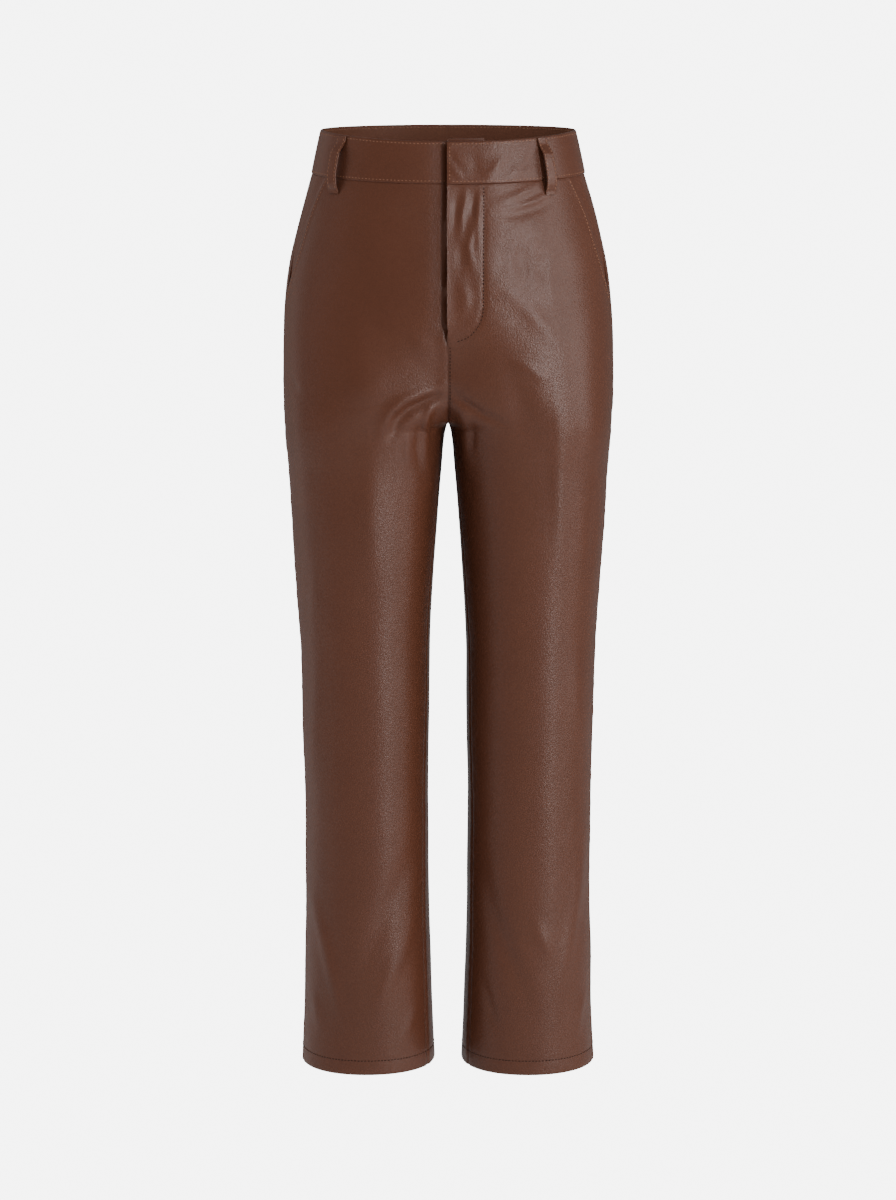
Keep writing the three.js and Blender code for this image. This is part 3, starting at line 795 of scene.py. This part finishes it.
def band_profile(z):
    """Rounded top and bottom folds and the shallow grooves under the two rows of stitches."""
    rounded = 0.9 * np.exp(-((z - BAND_FOOT) / 0.7)) + 0.9 * np.exp(-((WAIST_TOP - z) / 0.7))
    grooves = sum(0.3 * np.exp(-(((z - height) / 0.9) ** 2)) for height in BAND_STITCHES)
    return 0.25 * np.cos(np.pi * z / 44) - rounded - grooves


def band_wave(half, x, z):
    """The slight waviness of a band between its seams."""
    return 0.3 * np.sin(x / 19 + z / 40 + half)


def band_lift(half, x, y):
    """The left band laps over at the front and the right band sinks beside its edge."""
    if half > 0:
        wide = 2.8 * (1 - smooth((x - 42) / 48))
        lift = wide + 2.6 * np.exp(-(np.maximum(x, LAP_EDGE) - LAP_EDGE) / 14)
    else:
        lift = -lap_hollow(x)
    return np.where(y < 0, lift, 0.0)


def band_offset(half, side, x, y, z):
    """Height of a band's outer or inner face over the cloth line."""
    offset = BAND_FACES[side] + band_wave(half, x, z) + band_lift(half, x, y)
    if side == "outside":
        offset = offset + band_profile(z)
    if side == "outside" and half > 0:
        offset = offset + crease_lines(BAND_CREASES, x, z) * (y < 0)
    return offset


def band_points(half, side):
    """Grid of a band's outer or inner points, the right one with its underlap at the end."""
    z = np.repeat(BAND_LEVELS[:, None], BAND_COLUMNS, axis=1)
    back_edge = -angle_beside(BAND_LEVELS, HALF_GAP)
    front_edge = angle_beside(BAND_LEVELS, LAP_EDGE if half > 0 else UNDERLAP_START)
    plain_columns = BAND_COLUMNS if half > 0 else BAND_COLUMNS - UNDERLAP_COLUMNS
    share = np.linspace(0, 1, plain_columns)[None, :]
    angle = back_edge[:, None] + (front_edge - back_edge)[:, None] * share
    if half < 0:
        under_x = np.linspace(-0.8, UNDERLAP_END, UNDERLAP_COLUMNS)
        under = [angle_beside(BAND_LEVELS, x) for x in under_x]
        angle = np.concatenate([angle, np.stack(under, axis=1)], axis=1)
    plain = line_point(z, angle)
    offset = band_offset(half, side, plain[..., 0], plain[..., 1], z)
    if side == "outside" and half > 0:
        offset = offset - 0.8 * np.exp(LAP_EDGE - plain[..., 0]) * (plain[..., 1] < 0)
    under = (np.arange(BAND_COLUMNS) >= BAND_COLUMNS - UNDERLAP_COLUMNS) & (half < 0)
    offset = np.where(under, UNDERLAP_FACES[side], offset)
    points = place(half, z, angle, offset, folded=False)
    points[..., 2] += np.where(under, 2.5 * smooth((z - 5) / 16), 0.0)
    if side == "inside":
        points[0, :, 2] += TOP_SLANT
        close_centre(points, half)
    return points


for half, side_name in HALVES:
    node = "waistband_" + side_name
    outside = band_points(half, "outside")
    band = make_wall("band_" + node, [node], brown_film, outside, band_points(half, "inside"))
    cells = (outside.shape[0] - 1) * (outside.shape[1] - 1)
    # The inner faces take the film that is painted lighter for the shade inside the band
    band.data.materials.append(shade_lightened_inner_film)
    for polygon in band.data.polygons[cells:2 * cells]:
        polygon.material_index = 1


# Belt loops, folded strips that stand off the band: their half, their face with the front as 1,
# and the x of their top and foot
LOOP_PATHS = [
    ("belt_loop_front_right", -1, 1, 104, 113),
    ("belt_loop_front_left", 1, 1, 92, 101),
    ("belt_loop_back_right", -1, -1, 72, 76),
    ("belt_loop_back_left", 1, -1, 72, 76),
    ("belt_loop_back_centre", 1, -1, 0, 0),
]
LOOP_PROFILE = dict(
    z=[20.6, 16, 13.5, 9.5, 5, -3, -12, -19, -25, -30, -33, -36],
    inside=[1.4, 1.6, 2.2, 4.8, 7.4, 8.2, 8.2, 7.6, 6, 3.4, 1.3, 0.7],
)
loop_profile_at = table_reader(LOOP_PROFILE)
LOOP_TOP = LOOP_PROFILE["z"][0]
LOOP_FOOT = LOOP_PROFILE["z"][-1]
LOOP_HALF_WIDTH = 5.8
LOOP_THICKNESS = 1.8
LOOP_STITCH_EDGE = 1.5
LOOP_LEVELS = np.concatenate([
    [LOOP_TOP, LOOP_TOP - 0.3], np.linspace(19.6, LOOP_FOOT + 1, 66), [LOOP_FOOT + 0.4, LOOP_FOOT],
])
LOOP_EDGE_COLUMNS = LOOP_HALF_WIDTH - np.array([0, 0.2, 0.7, 1.4, 2.1, 3.8])
LOOP_ACROSS = np.concatenate([-LOOP_EDGE_COLUMNS, [0], LOOP_EDGE_COLUMNS[::-1]])


def loop_points(path, z, across, extra):
    """Place on a belt loop: height, distance from its middle line and depth over its inner face."""
    half, face, top_x, foot_x = path
    z, across = np.broadcast_arrays(np.asarray(z, dtype=float), np.asarray(across, dtype=float))
    x = foot_x + (top_x - foot_x) * (z - LOOP_FOOT) / (LOOP_TOP - LOOP_FOOT)
    turn = angle_at_x(z, x) * face
    facing = outward(z, turn)
    middle = line_point(z, turn)
    dip = waist_dip(z, middle[..., 1])
    sideways = unit(np.stack([-facing[..., 1], facing[..., 0], np.zeros_like(z)], axis=-1))
    depth = loop_profile_at(z)["inside"] + extra
    point = middle + sideways * across[..., None] + facing * depth[..., None]
    return np.stack([half * point[..., 0], point[..., 1], point[..., 2] - dip], axis=-1)


for name, *path in LOOP_PATHS:
    z = np.repeat(LOOP_LEVELS[:, None], len(LOOP_ACROSS), axis=1)
    across = np.repeat(LOOP_ACROSS[None, :], len(LOOP_LEVELS), axis=0)
    edge = LOOP_HALF_WIDTH - np.abs(across)
    groove = 0.3 * np.exp(-(((edge - LOOP_STITCH_EDGE) / 0.5) ** 2))
    crown = LOOP_THICKNESS - 0.55 * np.exp(-edge / 0.5) - groove
    outside = loop_points(path, z, across, crown)
    inside = loop_points(path, z, across, np.zeros_like(z))
    make_wall("strap_" + name, [name], loop_film, outside, inside)


# Sewing: each stitch is a short thread lying in the cloth, set one after the other on a line.
# A stitch is four rings of points, tapered and sunk at both ends.
STITCH_LENGTH = 2.6
STITCH_SIDES = 6
STITCH_MARKS = STITCH_LENGTH * np.array([0, 0.25, 0.75, 1])
STITCH_SIZES = (0.35, 1.0, 1.0, 0.35)
STITCH_SINKS = (-0.18, 0.1, 0.1, -0.18)


def stitch_points(middle, facing, thick):
    """Rings of points round a stitch's four places."""
    run = unit(np.gradient(middle, axis=0))
    side = unit(np.cross(run, facing))
    points = []
    for at, size in enumerate(STITCH_SIZES):
        for turn in range(STITCH_SIDES):
            bearing = 2 * math.pi * turn / STITCH_SIDES
            offset = side[at] * math.cos(bearing) + facing[at] * (math.sin(bearing) * 0.8)
            points.append(middle[at] + offset * size * thick + facing[at] * STITCH_SINKS[at])
    return points


def stitch_faces(first):
    """Faces between the rings of the stitch whose points start at first."""
    faces = []
    for ring in range(len(STITCH_SIZES) - 1):
        for turn in range(STITCH_SIDES):
            one = first + ring * STITCH_SIDES + turn
            two = first + ring * STITCH_SIDES + (turn + 1) % STITCH_SIDES
            faces.append((one, two, two + STITCH_SIDES, one + STITCH_SIDES))
    last = first + (len(STITCH_SIZES) - 1) * STITCH_SIDES
    faces.append(tuple(first + turn for turn in reversed(range(STITCH_SIDES))))
    faces.append(tuple(last + turn for turn in range(STITCH_SIDES)))
    return faces


def make_stitches(name, rows, thread, gap=1.2, thick=0.42):
    """One piece of all stitches along rows, each given as its places and their outward directions."""
    points, faces = [], []
    for line, facings in rows:
        steps = np.linalg.norm(np.diff(line, axis=0), axis=1)
        travelled = np.concatenate([[0], np.cumsum(steps)])
        for number in range(max(int(travelled[-1] / (STITCH_LENGTH + gap)), 1)):
            marks = number * (STITCH_LENGTH + gap) + gap / 2 + STITCH_MARKS
            middle = np.stack([np.interp(marks, travelled, line[:, k]) for k in range(3)], axis=1)
            facing = np.stack([np.interp(marks, travelled, facings[:, k]) for k in range(3)], axis=1)
            faces += stitch_faces(len(points))
            points += stitch_points(middle, unit(facing), thick)
    stitches = new_object(name, points, faces)
    select_only(stitches)
    bpy.ops.object.mode_set(mode="EDIT")
    bpy.ops.mesh.select_all(action="SELECT")
    bpy.ops.mesh.normals_make_consistent(inside=False)
    bpy.ops.object.mode_set(mode="OBJECT")
    finish_piece(stitches, [], thread, smooth_angle=60)


def line_facings(half, z, angle):
    """Outward directions along a line of one half."""
    facing = outward(z, angle)
    return np.stack([half * facing[..., 0], facing[..., 1], facing[..., 2]], axis=-1)


# Rows along the top and bottom of the waistband, down its lapped end and on its inner face
band_rows = []
for half in (-1, 1):
    for height in BAND_STITCHES:
        z = np.full(240, height)
        angle = np.linspace(-angle_beside(z, 2.0)[0], angle_beside(z, 1.5)[0], len(z))
        plain = line_point(z, angle)
        offset = band_offset(half, "outside", plain[:, 0], plain[:, 1], z)
        row = place(half, z, angle, offset, folded=False)
        band_rows.append((row, line_facings(half, z, angle)))
end_row_x = 1.6
z = np.linspace(-18.5, 18.5, 30)
angle = angle_beside(z, end_row_x)
lapped = band_lift(1, np.full_like(z, end_row_x), line_point(z, angle)[:, 1])
offset = BAND_FACES["outside"] + band_profile(z) + lapped
band_rows.append((place(1, z, angle, offset, folded=False), line_facings(1, z, angle)))
for half in (-1, 1):
    z = np.full(160, 18.6)
    angle = np.linspace(-angle_beside(z, 2.0)[0], -0.1, len(z))
    offset = BAND_FACES["inside"] + band_wave(half, line_point(z, angle)[:, 0], z)
    band_rows.append((place(half, z, angle, offset), -line_facings(half, z, angle)))
make_stitches("stitching_waistband", band_rows, tan_thread)


# Fly stitching, straight down and then curved in to the centre seam, and the seam's own row
FLY_WIDTH = 35.0
FLY_BEND_TOP = -146.0
FLY_BEND_WIDE = 30.0
FLY_BEND_TALL = 35.0
bend = np.linspace(0, math.pi / 2, 30)
bend_x = FLY_WIDTH - FLY_BEND_WIDE * (1 - np.cos(bend))
bend_z = FLY_BEND_TOP - FLY_BEND_TALL * np.sin(bend)
fly_x = np.concatenate([np.full(40, FLY_WIDTH), bend_x])
fly_z = np.concatenate([np.linspace(-25, FLY_BEND_TOP, 40), bend_z])
fly_angle = angle_at_x(fly_z, fly_x)
fly_row = place(1, fly_z, fly_angle, 0.0, front_lift(fly_x, fly_z))
z = np.linspace(-186, -262, 40)
angle = angle_beside(z, 2.2)
fly_rows = [
    (fly_row, line_facings(1, fly_z, fly_angle)),
    (place(1, z, angle, 0.0), line_facings(1, z, angle)),
]
make_stitches("stitching_fly", fly_rows, dark_thread, 1.0, 0.55)


# Rows beside the pocket mouths
for half, side_name in HALVES:
    z = np.linspace(-25, POCKET_BOTTOM + 1, 90)
    angle = angle_at_x(z, pocket_at(z)["x"]) + 0.045
    rows = [(place(half, z, angle, 0.25), line_facings(half, z, angle))]
    make_stitches("stitching_pocket_" + side_name, rows, tan_thread)


# Hem rows
for half, side_name in HALVES:
    angle = np.linspace(-math.pi, math.pi, 300)
    z = np.full_like(angle, HEM_TURN_TOP - 1)
    rows = [(place(half, z, angle, -0.15), line_facings(half, z, angle))]
    make_stitches("stitching_hem_" + side_name, rows, dark_thread, 0.9, 0.5)


# Rows along both edges of every belt loop
stitch_across = LOOP_HALF_WIDTH - LOOP_STITCH_EDGE
loop_rows = []
for name, *path in LOOP_PATHS:
    for across in (-stitch_across, stitch_across):
        z = np.linspace(19, LOOP_FOOT + 1.5, 60)
        row = loop_points(path, z, across, np.full_like(z, 1.5))
        ahead = loop_points(path, z, across, np.full_like(z, 2.5))
        loop_rows.append((row, unit(ahead - row)))
make_stitches("stitching_belt_loops", loop_rows, tan_thread)


# Hidden metal and the zip keep their solids with their own finishes
HIDDEN_FINISHES = dict(zip=nylon_tape, zip_slider=plated_zinc, hook=plated_zinc, bar=plated_zinc)
for node_name, material in HIDDEN_FINISHES.items():
    node_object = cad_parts[node_name]
    node_object.data.materials.clear()
    node_object.data.materials.append(material)


# Plain pale room: the floor and the room look evenly pale, and the lamps light the trousers
ROOM_GLOW = 6.4
ROOM_LIGHT = 0.27
FLOOR_HEIGHT = -1.35
FLOOR_SIZE = 400.0
WHITE = to_linear("ffffff")


# Matt painted floor, pale grey to the light and as bright as the room to the eye.
def painted_floor():
    material, shader = new_material("painted_floor")
    shader.inputs["Base Color"].default_value = to_linear("e4e4e4")
    shader.inputs["Roughness"].default_value = 0.9
    looked_at = add_node(material, "ShaderNodeLightPath")
    glow = add_node(
        material, "ShaderNodeEmission", None, {"Color": WHITE, "Strength": ROOM_GLOW},
    )
    either = add_node(
        material, "ShaderNodeMixShader", None, None,
        {
            0: looked_at.outputs["Is Camera Ray"],
            1: shader.outputs["BSDF"],
            2: glow.outputs["Emission"],
        },
    )
    output = material.node_tree.nodes["Material Output"]
    connect(material, either.outputs["Shader"], output.inputs["Surface"])
    return material


bpy.ops.mesh.primitive_plane_add(size=1, location=(0, 0, FLOOR_HEIGHT))
floor = bpy.context.active_object
floor.name = "floor"
floor.scale = (FLOOR_SIZE, FLOOR_SIZE, 1)
bpy.ops.object.transform_apply(location=True, rotation=True, scale=True)
floor.data.materials.append(painted_floor())


def soft_light(name, place_at, aim_height, wide, tall, watts):
    """A soft lamp that faces the upright axis at a height."""
    data = bpy.data.lights.new(name, "AREA")
    data.shape = "RECTANGLE"
    data.size = wide
    data.size_y = tall
    data.energy = watts
    lamp = bpy.data.objects.new(name, data)
    bpy.context.collection.objects.link(lamp)
    lamp.location = place_at
    away_x, away_y = -place_at[0], -place_at[1]
    rise = math.atan2(aim_height - place_at[2], math.hypot(away_x, away_y))
    bearing = math.atan2(away_y, away_x)
    lamp.rotation_euler = (math.pi / 2 + rise, 0.0, bearing - math.pi / 2)
    return lamp


# Lamps: their place and the height they face, their width and height, their watts, and whether
# the film shines with them
LAMPS = [
    ("key_right", (1.66, -2.12, 0.1), -0.45, 0.42, 2.5, 53, True),
    ("rim_left", (-1.9, 1.0, -0.1), -0.45, 0.9, 2.4, 3, True),
    ("side_right", (2.5, -0.9, 0.1), -0.45, 1.0, 2.2, 30, True),
    ("fill_left", (-2.9, -0.5, 0.3), -0.45, 1.6, 2.4, 50, False),
    ("fill_front", (-0.2, -2.9, 1.7), -0.35, 1.8, 1.2, 25, False),
]
for name, place_at, aim_height, wide, tall, watts, shines in LAMPS:
    lamp = soft_light(name, place_at, aim_height, wide, tall, watts)
    lamp.visible_glossy = shines

world = bpy.data.worlds.new("pale_room")
world.use_nodes = True
room = world.node_tree.nodes["Background"]
room.inputs["Color"].default_value = WHITE
room.inputs["Strength"].default_value = ROOM_LIGHT
backdrop = add_node(world, "ShaderNodeBackground", None, {"Color": WHITE, "Strength": ROOM_GLOW})
seen_by = add_node(world, "ShaderNodeLightPath")
chosen = add_node(
    world, "ShaderNodeMixShader", None, None,
    {
        0: seen_by.outputs["Is Camera Ray"],
        1: room.outputs["Background"],
        2: backdrop.outputs["Background"],
    },
)
output = world.node_tree.nodes["World Output"]
connect(world, chosen.outputs["Shader"], output.inputs["Surface"])
bpy.context.scene.world = world
